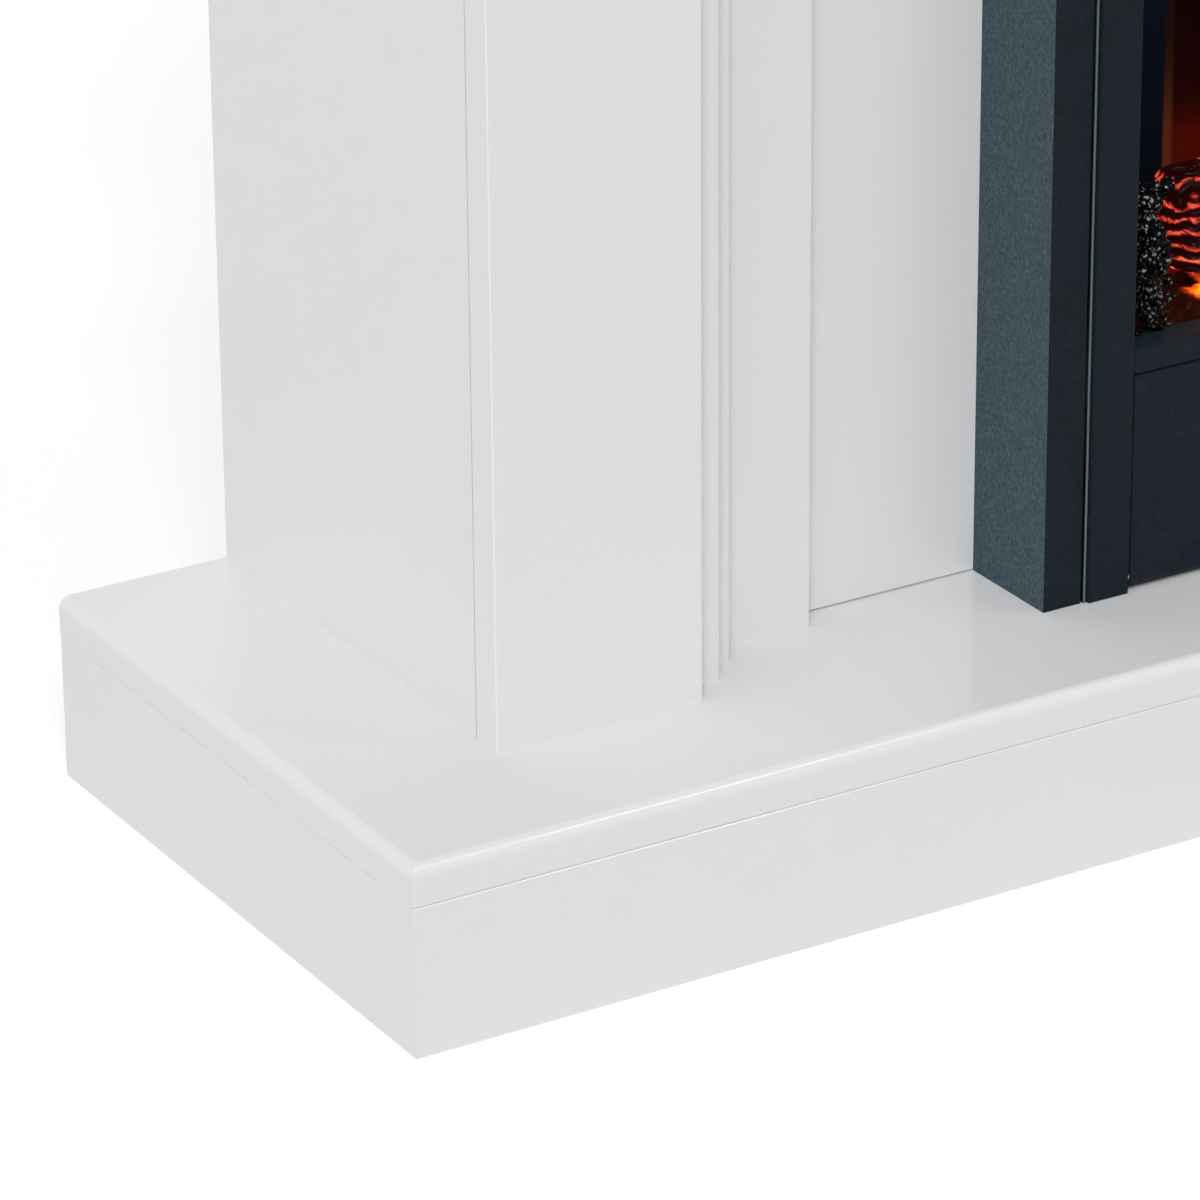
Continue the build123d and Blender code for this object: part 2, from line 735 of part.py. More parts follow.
def make_controls():
    plate_back = control_y + SHEET
    with BuildPart() as plate:
        box(-chassis_inner, chassis_inner, control_y, plate_back, compartment_floor, rail_bottom)
        for x in switch_x:
            box(x - 12, x + 12, control_y, plate_back, switch_z - 16, switch_z + 16, Mode.SUBTRACT)
        cylinder_along("y", (dial_x, control_y + 1, switch_z), 3.6, 4, Mode.SUBTRACT)
        for x in range(-180, -19, 16):
            box(x, x + 6, control_y, plate_back, 125, 205, Mode.SUBTRACT)
    save(plate, "control_plate")

    with BuildPart() as housings:
        for x in switch_x:
            box(x - 14, x + 14, control_y - 2, control_y, switch_z - 18, switch_z + 18)
            box(x - 12, x + 12, control_y, control_y + 22, switch_z - 16, switch_z + 16)
            box(x - 10.5, x + 10.5, control_y - 2, control_y + 18, switch_z - 14, switch_z + 14, Mode.SUBTRACT)
        for x in switch_x:
            cylinder_along("x", (x, control_y + 4, switch_z), 1.5, 24)
    save(housings, "switch_housings")

    for number, x in enumerate(switch_x, start=1):
        with BuildPart() as rocker:
            with BuildSketch(Plane.YZ.offset(x - 10)) as profile:
                with BuildLine():
                    Polyline((-2, -12.4), (-9, -12.4), (-7, 0), (-9, 12.4), (-2, 12.4), (5, 4), (5, -4), close=True)
                make_face()
            extrude(amount=20)
            front_edges = rocker.edges().filter_by(Axis.X).sort_by(Axis.Y)[:2]
            fillet(front_edges, 1.0)
            cylinder_along("x", (x, 0, 0), 1.55, 24, Mode.SUBTRACT)
        pivot = (0, control_y + 4, switch_z)
        tilted = rocker.part.rotate(Axis.X, ROCKER_TILT).translate(pivot)
        tilted.label = f"rocker_{number}"
        export_step(tilted, f"parts/rocker_{number}.step")

    with BuildPart() as dial:
        front = control_y - 15
        cylinder_along("y", (dial_x, front + 7, switch_z), 12, 14)
        fillet(dial.faces().sort_by(Axis.Y)[0].edges(), 1.5)
        for spoke in range(18):
            angle = math.radians(20 * spoke)
            groove = (dial_x + 12.3 * math.sin(angle), front + 8, switch_z + 12.3 * math.cos(angle))
            cylinder_along("y", groove, 0.9, 12, Mode.SUBTRACT)
        box(dial_x - 0.7, dial_x + 0.7, front, front + 0.8, switch_z + 3, switch_z + 10, Mode.SUBTRACT)
        cylinder_along("y", (dial_x, control_y + 6, switch_z), 3, 14)
    save(dial, "brightness_dial")
    with BuildPart() as dimmer:
        box(dial_x - 9, dial_x + 9, plate_back, plate_back + 10, switch_z - 9, switch_z + 9)
        cylinder_along("y", (dial_x, plate_back + 6.5, switch_z), 3.05, 17, Mode.SUBTRACT)
    save(dimmer, "dimmer_body")


# ------------------------------------------------------------------ fire: firebox lining and fuel bed
def cheek_outline():
    """Plan of the splayed side lining, a folded sheet from the frame back to the flame screen."""
    (x0, y0), (x1, y1) = cheek_front, cheek_rear
    run = math.hypot(x1 - x0, y1 - y0)
    out_x, out_y = 2 * (y1 - y0) / run, 2 * (x0 - x1) / run
    return [(x0, y0), (x1, y1), (x1 + out_x, y1 + out_y), (x0 + out_x, y0 + out_y)]


def make_lining():
    rail_back = web_y + 12
    flange_y = casing_front - 3
    narrow = casing_x - 2 * THIN_SHEET
    with BuildPart() as tray:
        box(-chassis_inner, chassis_inner, rail_back, flange_y, rail_bottom, tray_top)
        box(-narrow, narrow, flange_y, screen_y + 12, rail_bottom, tray_top)
        box(-140, 140, -78, -52, rail_bottom, tray_top, Mode.SUBTRACT)
    shelf = board(-chassis_inner, chassis_inner, web_y, panel_y, chassis_floor_z, compartment_floor)
    save_set([tray.part, shelf.part], "chassis_shelves")
    cheeks = [from_plan(mirrored(cheek_outline(), side), rail_top, roof_z).part for side in SIDES]
    save_set(cheeks, "firebox_cheeks")
    (x0, y0), (x1, y1) = cheek_front, cheek_rear
    roof = from_plan([(x0, y0), (x1, y1), (-x1, y1), (-x0, y0)], roof_z, roof_z + SHEET)
    save(roof, "firebox_roof")
    save(
        board(-SCREEN_HALF_WIDTH, SCREEN_HALF_WIDTH, screen_y, screen_y + 3, tray_top, roof_z - 2),
        "flame_screen",
    )
    with BuildPart() as grille:
        grille_y = web_y + 3.5
        grille_top = chassis_inner_top - 0.5
        grille_bottom = roof_z + SHEET + 0.5
        half = cheek_front[0]
        box(-half, half, grille_y, grille_y + 6, grille_bottom, grille_top)
        box(-half + 4, half - 4, grille_y, grille_y + 6, grille_bottom + 4, grille_top - 4, Mode.SUBTRACT)
        for x in range(-150, 151, 50):
            box(x - 1, x + 1, grille_y + 3, grille_y + 6, grille_bottom + 4, grille_top - 4)
        for z in range(5):
            blade = grille_bottom + 7.5 + 5.4 * z
            box(-half + 4, half - 4, grille_y, grille_y + 5, blade, blade + 1.4)
    save(grille, "outlet_grille")

    mask_y = screen_y + 10
    with BuildPart() as mask:
        box(-152, 152, mask_y, mask_y + 1, tray_top, 420)
        for slot in range(11):
            x = -125 + 25 * slot
            height = 60 + 45 * math.sin(1.7 * slot) ** 2
            with BuildSketch(Plane.XZ.offset(-mask_y - 1)):
                with BuildLine():
                    top = (x + 5 * math.sin(slot), 262 + height)
                    Spline((x - 6, 262), (x - 8, 262 + 0.4 * height), top)
                    Spline(top, (x + 7, 262 + 0.35 * height), (x + 6, 262))
                    Line((x + 6, 262), (x - 6, 262))
                make_face()
            extrude(amount=1, mode=Mode.SUBTRACT)
    save(mask, "flame_mask")


BED_SLOPE = 0.35
COAL_ROWS = 4
COAL_PITCH = 15.5
COAL_SPOTS = ((184, -86, 0, 16), (171, -66, 7, 15))  # distance out, y, height in the row, size
BED_INSET = 3.0  # ember bed inside the cheeks
LOGS = (
    # centre, half length, radius, turn about Z, tilt about Y
    ((-84, -63, 292), 73, 33, -3, -3),
    ((92, -60, 282), 68, 27, 5, 3),
    ((2, -41, 344), 106, 18, 0, 2),
)


def make_fuel_bed():
    (x0, y0), (x1, y1) = cheek_front, cheek_rear
    slope = (x0 - x1) / (y1 - y0)
    bed_front, bed_rear = web_y + 12.5, screen_y - 0.5
    front_x = x0 - slope * (bed_front - y0) - BED_INSET
    rear_x = x0 - slope * (bed_rear - y0) - BED_INSET
    bed = from_plan(
        [(-front_x, bed_front), (front_x, bed_front), (rear_x, bed_rear), (-rear_x, bed_rear)],
        tray_top,
        275,
    )
    with bed:
        slope_plane = Plane(origin=(0, bed_front, rail_top - 2), x_dir=(1, 0, 0), z_dir=(0, -BED_SLOPE, 1))
        split(bisect_by=slope_plane, keep=Keep.BOTTOM)
    save(bed, "ember_bed")

    logs = []
    for centre, half, radius, turn, tilt in LOGS:
        with BuildPart() as log:
            with BuildSketch(Plane.YZ.offset(-half)):
                RegularPolygon(radius, 9)
            with BuildSketch(Plane.YZ):
                RegularPolygon(radius * 0.93, 9)
            with BuildSketch(Plane.YZ.offset(half)):
                RegularPolygon(radius * 0.86, 9)
            loft(ruled=True)
        logs.append(log.part.rotate(Axis.Y, tilt).rotate(Axis.Z, turn).translate(centre))
    save_set(logs, "logs")

    coals = []
    for side in SIDES:
        for row in range(COAL_ROWS):
            for x, y, z, size in COAL_SPOTS:
                place = Location((side * x, y, rail_top + 11 + COAL_PITCH * row + z), (31 * row, 17, 25 * row))
                with BuildPart() as coal:
                    with Locations(place):
                        Box(size * 0.66, size * 0.56, size * 0.74)
                coals.append(coal.part)
    save_set(coals, "coals")


# ------------------------------------------------------------------ fire: flame effect
SPINDLE_SHAFT_R = 2.5
SPINDLE_FINS = 14
LED_COUNT, LED_PITCH, LED_WIDTH = 13, 23.0, 5.0
LED_BOARD_HALF, LED_BOARD_T = 150.0, 1.6


def led_board(y0, y1, z, leds_y):
    """A strip of light-emitting diodes on a long narrow board, lighting upwards."""
    top = z + LED_BOARD_T
    box(-LED_BOARD_HALF, LED_BOARD_HALF, y0, y1, z, top)
    for led in range(LED_COUNT):
        x = (led - (LED_COUNT - 1) / 2) * LED_PITCH
        box(x - LED_WIDTH / 2, x + LED_WIDTH / 2, leds_y, leds_y + LED_WIDTH, top, top + LED_BOARD_T)


def make_flame_effect():
    with BuildPart() as spindle:
        cylinder_along("x", (3.5, spindle_y, spindle_z), SPINDLE_SHAFT_R, 2 * spindle_half + 15)
        for fin in range(SPINDLE_FINS):
            x = -spindle_half + 15 + fin * (2 * spindle_half - 30) / (SPINDLE_FINS - 1)
            with Locations(Location((x, spindle_y, spindle_z), (37 * fin, 0, 12))):
                Box(18, 0.8, 34)
    save(spindle, "flame_spindle")
    floor = casing_bottom + THIN_SHEET
    brackets, bushes = [], []
    for side in SIDES:
        with BuildPart() as bracket:
            inner = side * 153
            box(inner, inner + side * 2, spindle_y - 20, spindle_y + 20, floor, spindle_z + 20)
            box(inner, inner + side * 16, spindle_y - 20, spindle_y + 20, floor, floor + 2)
            cylinder_along("x", (inner + side, spindle_y, spindle_z), 5, 4, Mode.SUBTRACT)
        brackets.append(bracket.part)
        with BuildPart() as bush:
            cylinder_along("x", (inner + side, spindle_y, spindle_z), 5, 2)
            cylinder_along("x", (inner + side, spindle_y, spindle_z), 2.56, 2, Mode.SUBTRACT)
        bushes.append(bush.part)
    with BuildPart() as bush:
        cylinder_along("x", blower_bush, 8, 6)
        cylinder_along("x", blower_bush, 3.05, 6, Mode.SUBTRACT)
    save_set(brackets, "spindle_brackets")
    save_set(bushes + [bush.part], "shaft_bushes")
    with BuildPart() as motor:
        cylinder_along("x", (165, spindle_y, spindle_z - 8), 24, 20)
        cylinder_along("x", (158, spindle_y, spindle_z), 2.6, 6.6, Mode.SUBTRACT)
    save(motor, "spindle_motor")

    with BuildPart() as flame_leds:
        led_board(62, 76, 158, 66.5)
        for x in (-150, 137):
            box(x, x + 13, 62, 76, floor, 158)
    with BuildPart() as ember_leds:
        led_board(-60, -48, 208, -56.5)
        for x in (-150, 147):
            box(x, x + 3, -62.5, -48, 200, 208)
    save_set([flame_leds.part, ember_leds.part], "led_boards")


# ------------------------------------------------------------------ fire: fan heater
def make_heater():
    wall = THIN_SHEET
    outer_r = 31.0
    duct_top, duct_bottom = blower_z + outer_r, 632.0
    mouth_y = web_y + 10.5
    end_x = HEATER_END
    tongue_x = end_x - wall
    with BuildPart() as housing:
        with BuildSketch(Plane.YZ.offset(-tongue_x)):
            with Locations((blower_y, blower_z)):
                Circle(outer_r)
            with Locations(((mouth_y + blower_y) / 2, (duct_top + duct_bottom) / 2)):
                Rectangle(blower_y - mouth_y, duct_top - duct_bottom)
            with Locations((blower_y, blower_z)):
                Circle(outer_r - wall, mode=Mode.SUBTRACT)
            with Locations(((mouth_y + blower_y) / 2, (duct_top + duct_bottom) / 2)):
                Rectangle(blower_y - mouth_y, duct_top - duct_bottom - 2 * wall, mode=Mode.SUBTRACT)
            with Locations((blower_y + 4, blower_z - outer_r)):
                Rectangle(30, 12, mode=Mode.SUBTRACT)
        extrude(amount=2 * tongue_x)
        for x in (-end_x, tongue_x):
            with BuildSketch(Plane.YZ.offset(x)):
                with Locations((blower_y, blower_z)):
                    Circle(outer_r)
                with Locations(((mouth_y + blower_y) / 2, (duct_top + duct_bottom) / 2)):
                    Rectangle(blower_y - mouth_y, duct_top - duct_bottom)
                with Locations((blower_y, blower_z)):
                    Circle(5, mode=Mode.SUBTRACT)
            extrude(amount=wall)
    save(housing, "heater_housing")

    with BuildPart() as element:
        half, y0, y1 = 124.0, -46.0, -26.0
        z0, z1 = duct_bottom + wall, duct_top - wall
        box(-half, half, y0, y1, z0, z1)
        fins = 31
        pitch = (2 * half - 4) / fins
        for fin in range(fins):
            x = -half + 2.8 + fin * pitch
            box(x, x + pitch - 1.6, y0, y1, z0 + 2, z1 - 2, Mode.SUBTRACT)
    save(element, "heater_element")

    with BuildPart() as wheel:
        for x in (-blower_half, -1, blower_half - 2):
            with BuildSketch(Plane.YZ.offset(x)):
                with Locations((blower_y, blower_z)):
                    Circle(BLOWER_R)
                    Circle(3, mode=Mode.SUBTRACT)
            extrude(amount=2)
        with BuildSketch(Plane.YZ.offset(-blower_half)):
            with Locations((blower_y, blower_z)):
                with PolarLocations(BLOWER_R - 3.4, 22):
                    Rectangle(5.5, 0.9, rotation=28)
        extrude(amount=2 * blower_half)
    with BuildPart() as shaft:
        cylinder_along("x", (5, blower_y, blower_z), 3, 280)
    save_set([wheel.part, shaft.part], "blower_wheel")
    with BuildPart() as motor:
        cylinder_along("x", (end_x + 15, blower_y, blower_z), 21, 30)
        cylinder_along("x", (end_x + 10, blower_y, blower_z), 3.05, 40, Mode.SUBTRACT)
        fillet(motor.edges().filter_by(GeomType.CIRCLE).sort_by(Axis.X)[-1], 3)
    save(motor, "blower_motor")
    with BuildPart() as cutout:
        cylinder_along("z", (-60, -12, duct_bottom - 3), 8, 6)
    save(cutout, "thermal_cutout")


def make_electrics():
    floor = casing_bottom + THIN_SHEET
    with BuildPart() as control:
        box(-120, 20, 84, 124, floor + 6, floor + 7.6)
        for x in (-112, 12):
            for y in (90, 118):
                cylinder_along("z", (x, y, floor + 3), 3, 6)
        for x in (-98, -72, -46):
            box(x, x + 19, 92, 108, floor + 7.6, floor + 23)
        box(-18, 6, 92, 116, floor + 7.6, floor + 16)
    with BuildPart() as block:
        box(gland_x - 22, gland_x + 22, 84, 104, floor, floor + 18)
        for x in (-14, 0, 14):
            cylinder_along("z", (gland_x + x, 94, floor + 14), 2.5, 8, Mode.SUBTRACT)
    save_set([control.part, block.part], "control_boards")


os.makedirs("parts", exist_ok=True)
for stale in os.listdir("parts"):
    os.remove(os.path.join("parts", stale))
make_hearth()
make_legs()
make_stepped_frame()
make_header()
make_mantel()
make_back_rails()
make_wall_brackets()
make_trims()
make_chassis()
make_casing()
make_flap()
make_controls()
make_lining()
make_fuel_bed()
make_flame_effect()
make_heater()
make_electrics()
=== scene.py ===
import json
import math
import random

import bmesh
import bpy
from mathutils import Matrix, Vector, noise


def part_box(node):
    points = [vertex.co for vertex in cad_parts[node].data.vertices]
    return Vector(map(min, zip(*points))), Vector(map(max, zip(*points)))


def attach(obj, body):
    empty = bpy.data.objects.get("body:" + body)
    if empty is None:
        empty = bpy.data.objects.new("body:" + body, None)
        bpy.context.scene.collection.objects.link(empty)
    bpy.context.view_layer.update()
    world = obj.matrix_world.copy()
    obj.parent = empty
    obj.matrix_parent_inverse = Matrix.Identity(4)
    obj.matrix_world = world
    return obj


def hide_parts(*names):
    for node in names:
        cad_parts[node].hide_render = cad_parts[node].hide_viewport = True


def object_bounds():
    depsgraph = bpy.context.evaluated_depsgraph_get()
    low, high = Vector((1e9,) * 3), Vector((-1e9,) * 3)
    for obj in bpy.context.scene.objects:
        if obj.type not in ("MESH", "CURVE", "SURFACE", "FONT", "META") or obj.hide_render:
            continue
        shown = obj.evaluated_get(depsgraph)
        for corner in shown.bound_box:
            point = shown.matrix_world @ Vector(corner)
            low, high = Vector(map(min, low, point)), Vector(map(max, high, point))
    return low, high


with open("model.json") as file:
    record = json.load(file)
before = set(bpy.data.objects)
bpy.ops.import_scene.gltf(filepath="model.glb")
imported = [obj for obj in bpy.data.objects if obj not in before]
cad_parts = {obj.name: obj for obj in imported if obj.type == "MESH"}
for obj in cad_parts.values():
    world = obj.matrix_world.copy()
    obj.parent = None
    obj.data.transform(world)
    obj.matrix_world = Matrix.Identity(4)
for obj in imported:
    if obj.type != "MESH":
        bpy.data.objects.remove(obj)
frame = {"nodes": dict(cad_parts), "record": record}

cad_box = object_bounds()
MM = 0.001
ROOT = "suite"
# where the Mix node keeps its factor, A and B, and its result, when it mixes colours
MIX_COLOUR_SOCKETS, MIX_COLOUR_RESULT = (0, 6, 7), 2
BLACK = (0.0, 0.0, 0.0)
SAME_POINT = 1e-6


# ------------------------------------------------------------------ shader helpers
class Shader:
    """One material built from nodes. Object coordinates are metres in the frame's own axes."""

    def __init__(self, name, **sockets):
        self.material = bpy.data.materials.new(name)
        self.material.use_nodes = True
        self.nodes = self.material.node_tree.nodes
        self.links = self.material.node_tree.links
        self.surface = self.nodes["Principled BSDF"]
        for socket, value in sockets.items():
            self.surface.inputs[socket.replace("_", " ")].default_value = value
        self.place = self.nodes.new("ShaderNodeTexCoord").outputs["Object"]

    def node(self, kind, *values, **settings):
        """A shader node with its settings, and its first sockets linked or set in order."""
        made = self.nodes.new("ShaderNode" + kind)
        for name, value in settings.items():
            setattr(made, name, value)
        for socket, value in zip(made.inputs, values):
            self.feed(socket, value)
        return made

    def feed(self, socket, value):
        if value is None:
            return
        if isinstance(value, bpy.types.NodeSocket):
            self.links.new(value, socket)
        else:
            socket.default_value = value

    def math(self, operation, a, b=None):
        return self.node("Math", a, b, operation=operation).outputs[0]

    def scaled(self, x, y, z):
        """The object's coordinates, stretched along each axis."""
        return self.node("VectorMath", self.place, (x, y, z), operation="MULTIPLY").outputs[0]

    def noise(self, scale, detail=3.0, rough=0.5, place=None, distortion=0.0):
        made = self.node("TexNoise")
        self.feed(made.inputs["Vector"], place or self.place)
        made.inputs["Scale"].default_value = scale
        made.inputs["Detail"].default_value = detail
        made.inputs["Roughness"].default_value = rough
        made.inputs["Distortion"].default_value = distortion
        return made.outputs["Fac"]

    def voronoi(self, scale, feature="F1", output="Distance"):
        made = self.node("TexVoronoi", feature=feature)
        self.feed(made.inputs["Vector"], self.place)
        made.inputs["Scale"].default_value = scale
        return made.outputs[output]

    def ramp(self, value, *stops):
        """Colours between stops of (position, colour)."""
        made = self.node("ValToRGB", value)
        elements = made.color_ramp.elements
        while len(elements) < len(stops):
            elements.new(0.5)
        for element, (position, colour) in zip(elements, stops):
            element.position = position
            element.color = (*colour, 1.0)
        return made.outputs["Color"]

    def between(self, value, low, high, to_low=0.0, to_high=1.0):
        """Maps low..high onto to_low..to_high, and holds the ends."""
        return self.node("MapRange", value, low, high, to_low, to_high).outputs[0]

    def mix(self, fac, a, b, blend="MIX"):
        made = self.node("Mix", data_type="RGBA", blend_type=blend)
        for index, value in zip(MIX_COLOUR_SOCKETS, (fac, a, b)):
            if isinstance(value, tuple):
                value = (*value, 1.0)
            self.feed(made.inputs[index], value)
        return made.outputs[MIX_COLOUR_RESULT]

    def bump(self, height, strength, distance, below=None):
        made = self.node("Bump")
        made.inputs["Strength"].default_value = strength
        made.inputs["Distance"].default_value = distance
        self.feed(made.inputs["Height"], height)
        if below:
            self.feed(made.inputs["Normal"], below)
        return made.outputs["Normal"]

    def axis(self, name):
        return self.node("SeparateXYZ", self.place).outputs[name]

    def use(self, **sockets):
        """Feeds the surface's sockets and returns the finished material."""
        for socket, value in sockets.items():
            self.feed(self.surface.inputs[socket.replace("_", " ")], value)
        return self.material


def varied(shader, colour, amount, scale, detail=3.0):
    """A colour that wanders a little lighter and darker."""
    dark = tuple(c * (1 - amount) for c in colour)
    light = tuple(min(1.0, c * (1 + amount)) for c in colour)
    return shader.ramp(shader.noise(scale, detail), (0.35, dark), (0.65, light))


# ------------------------------------------------------------------ materials of the surround
def white_lacquer():
    """Sprayed satin lacquer: a faint orange peel, and gloss that drifts a little over a board."""
    s = Shader("white_lacquer", IOR=1.47)
    colour = varied(s, (0.805, 0.805, 0.815), 0.004, 3.0)
    roughness = s.between(s.noise(6.0, 4.0), 0.3, 0.7, 0.13, 0.19)
    peel = s.bump(s.noise(420.0, 2.0), 0.05, 0.2 * MM)
    drift = s.bump(s.noise(9.0, 2.0), 0.06, 2 * MM, peel)
    return s.use(Base_Color=colour, Roughness=roughness, Normal=drift)


def carcass_board():
    """Bare fibreboard: matted fibres, dark flecks and broad paler patches."""
    s = Shader("carcass_board")
    fibres = s.noise(900.0, 6.0, 0.7)
    flecks = s.between(s.voronoi(700.0), 0.05, 0.12, 1.0, 0.0)
    colour = s.ramp(fibres, (0.3, (0.36, 0.27, 0.18)), (0.7, (0.52, 0.41, 0.29)))
    colour = s.mix(s.math("MULTIPLY", flecks, 0.35), colour, (0.16, 0.10, 0.06))
    colour = s.mix(s.between(s.noise(5.0), 0.35, 0.65, 0.0, 0.25), colour, (0.45, 0.36, 0.26))
    roughness = s.between(fibres, 0.3, 0.7, 0.75, 0.95)
    return s.use(Base_Color=colour, Roughness=roughness, Normal=s.bump(fibres, 0.35, 0.3 * MM))


def plated(name, colour, roughness, grain=(30.0, 900.0, 900.0), tarnish=0.2):
    """Plated or mill-finished metal with a rolling grain along one axis."""
    s = Shader(name, Metallic=1.0)
    lines = s.noise(1.0, 4.0, 0.6, s.scaled(*grain))
    blotch = s.noise(40.0, 4.0)
    base = s.mix(s.between(blotch, 0.4, 0.7, 0.0, tarnish), colour, tuple(c * 0.55 for c in colour))
    drawn = s.between(lines, 0.3, 0.7, roughness - 0.08, roughness + 0.1)
    dulled = s.between(blotch, 0.4, 0.7, 0.0, 0.1)
    roughness = s.math("ADD", drawn, dulled)
    return s.use(Base_Color=base, Roughness=roughness, Normal=s.bump(lines, 0.15, 0.1 * MM))


# ------------------------------------------------------------------ materials of the fire
def powder_coat(name, colour, light, roughness, relief=0.25, painted_lit_returns=False):
    """Fine textured powder coat. With the returns option set, the side faces get hammered dents and painted
    light: a paler grey than the front faces, as if lit from the side, with painted shade in the dents and
    painted highlight on the high points.
    """
    haze = {"Sheen_Weight": 0.16, "Sheen_Roughness": 0.40, "Sheen_Tint": (0.40, 0.80, 1.0, 1.0)}
    s = Shader(name, IOR=1.5, Specular_IOR_Level=0.12, **haze)
    facing = s.node("SeparateXYZ", s.node("TexCoord").outputs["Normal"]).outputs["X"]
    side = s.between(s.math("ABSOLUTE", facing), 0.5, 0.9)
    grains = s.noise(1500.0, 3.0, 0.6)
    hammered = s.noise(520.0, 3.0, 0.65)
    flecks = s.between(s.voronoi(1400.0, output="Color"), 0.72, 0.95, 0.0, 0.5)
    patch = s.mix(s.between(s.noise(35.0, 5.0, 0.65), 0.35, 0.65, 0.0, 0.35), colour, light)
    base = s.mix(flecks, patch, tuple(2.4 * c for c in light))
    # painted light: faces turned sideways take a paler grey, with painted shade in the dents and painted
    # highlight on the high points of the hammered relief
    if painted_lit_returns:
        dip_painted_shade, middle, top_painted_light = (0.028, 0.045, 0.058), (0.044, 0.068, 0.083), (0.070, 0.100, 0.118)
        base = s.mix(side, base, s.ramp(hammered, (0.34, dip_painted_shade), (0.5, middle), (0.66, top_painted_light)))
    rough = s.between(s.noise(55.0, 5.0), 0.3, 0.7, roughness - 0.05, roughness + 0.07)
    fine = s.bump(grains, relief, 0.25 * MM)
    dented = s.bump(s.math("MULTIPLY", hammered, side), 0.35, 0.5 * MM, fine)
    return s.use(Base_Color=base, Roughness=rough, Normal=dented)


def matt_black(name, colour=(0.012, 0.012, 0.013), roughness=0.55):
    """Black stove paint on sheet steel."""
    s = Shader(name)
    grains = s.noise(700.0, 3.0, 0.6)
    rough = s.between(s.noise(30.0, 4.0), 0.3, 0.7, roughness - 0.08, roughness + 0.1)
    base = varied(s, colour, 0.25, 60.0)
    return s.use(Base_Color=base, Roughness=rough, Normal=s.bump(grains, 0.3, 0.2 * MM))


def moulded(name, colour, roughness, relief=0.2):
    """Moulded plastic: spark-eroded texture, dust-fine gloss changes."""
    s = Shader(name)
    texture = s.noise(1800.0, 2.0)
    rough = s.between(s.noise(140.0, 4.0), 0.3, 0.7, roughness - 0.06, roughness + 0.08)
    base = varied(s, colour, 0.12, 90.0)
    return s.use(Base_Color=base, Roughness=rough, Normal=s.bump(texture, relief, 0.1 * MM))


def circuit_board(name, colour):
    """Lacquered board with copper tracks under the lacquer."""
    s = Shader(name)
    tracks = s.between(s.voronoi(260.0, "DISTANCE_TO_EDGE"), 0.02, 0.05, 1.0, 0.0)
    base = s.mix(s.math("MULTIPLY", tracks, 0.5), colour, (0.10, 0.26, 0.09))
    gloss = s.between(s.noise(200.0), 0.3, 0.7, 0.3, 0.45)
    return s.use(Base_Color=base, Roughness=gloss, Normal=s.bump(tracks, 0.3, 0.1 * MM))


def flame_screen_glass():
    """Smoked screen in a black border: an amber lit strip, dim red at the sides, flames in the middle."""
    border_width, strip_width = 22 * MM, 5 * MM
    soft_border, soft_strip = 1.5 * MM, 2.5 * MM
    flame_core, flame_reach = 30 * MM, 95 * MM
    low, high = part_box("flame_screen")
    half_x = high[0]
    s = Shader("flame_glass", Specular_IOR_Level=0.0)
    x = s.math("ABSOLUTE", s.axis("X"))
    z = s.between(s.axis("Z"), low[2], high[2])
    lit_half = half_x - border_width
    border = s.between(x, lit_half - soft_border, lit_half)
    amber = s.between(x, lit_half - strip_width - soft_strip, lit_half - strip_width)
    tongues = s.noise(1.0, 5.0, 0.55, s.scaled(26.0, 1.0, 5.5), 1.6)
    fine = s.noise(1.0, 4.0, 0.6, s.scaled(70.0, 1.0, 12.0), 0.8)
    sway = s.math("ADD", s.math("MULTIPLY", tongues, 1.15), s.math("MULTIPLY", fine, 0.35))
    sideways = s.between(x, flame_core, flame_reach, 0.0, 0.95)
    fade = s.math("ADD", sideways, s.math("MULTIPLY", z, 1.20))
    flame = s.ramp(
        s.between(s.math("SUBTRACT", sway, fade), -0.35, 0.75),
        (0.0, BLACK),
        (0.35, (0.030, 0.002, 0.001)),
        (0.55, (0.18, 0.011, 0.002)),
        (0.72, (0.75, 0.09, 0.006)),
        (0.88, (1.0, 0.42, 0.04)),
        (1.0, (1.0, 0.80, 0.30)),
    )
    bed_light = s.ramp(
        z,
        (0.225, (0.055, 0.0030, 0.0015)),
        (0.245, (0.030, 0.0022, 0.0013)),
        (0.28, (0.0115, 0.0012, 0.0009)),
        (0.37, (0.0070, 0.0007, 0.0008)),
        (1.0, (0.0035, 0.0004, 0.0004)),
    )
    flame = s.mix(1.0, flame, bed_light, "ADD")
    strip = s.ramp(
        z,
        (0.24, (0.078, 0.0145, 0.0056)),
        (0.28, (0.042, 0.0098, 0.0037)),
        (0.325, (0.022, 0.0066, 0.0027)),
        (0.37, (0.0105, 0.0042, 0.0021)),
        (1.0, (0.0040, 0.0020, 0.0012)),
    )
    glow = s.mix(border, s.mix(amber, flame, strip), BLACK)
    smoked = s.mix(s.noise(40.0), (0.0010, 0.0004, 0.0004), (0.0022, 0.0008, 0.0008))
    painted = s.mix(s.noise(25.0), (0.0035, 0.0050, 0.0100), (0.0065, 0.0090, 0.0165))
    smear = s.between(s.noise(22.0, 4.0), 0.3, 0.7, 0.12, 0.25)
    return s.use(
        Base_Color=s.mix(border, smoked, painted),
        Roughness=smear,
        Emission_Color=glow,
        Emission_Strength=1.0,
        Normal=s.bump(s.noise(60.0, 2.0), 0.03, 0.4 * MM),
    )


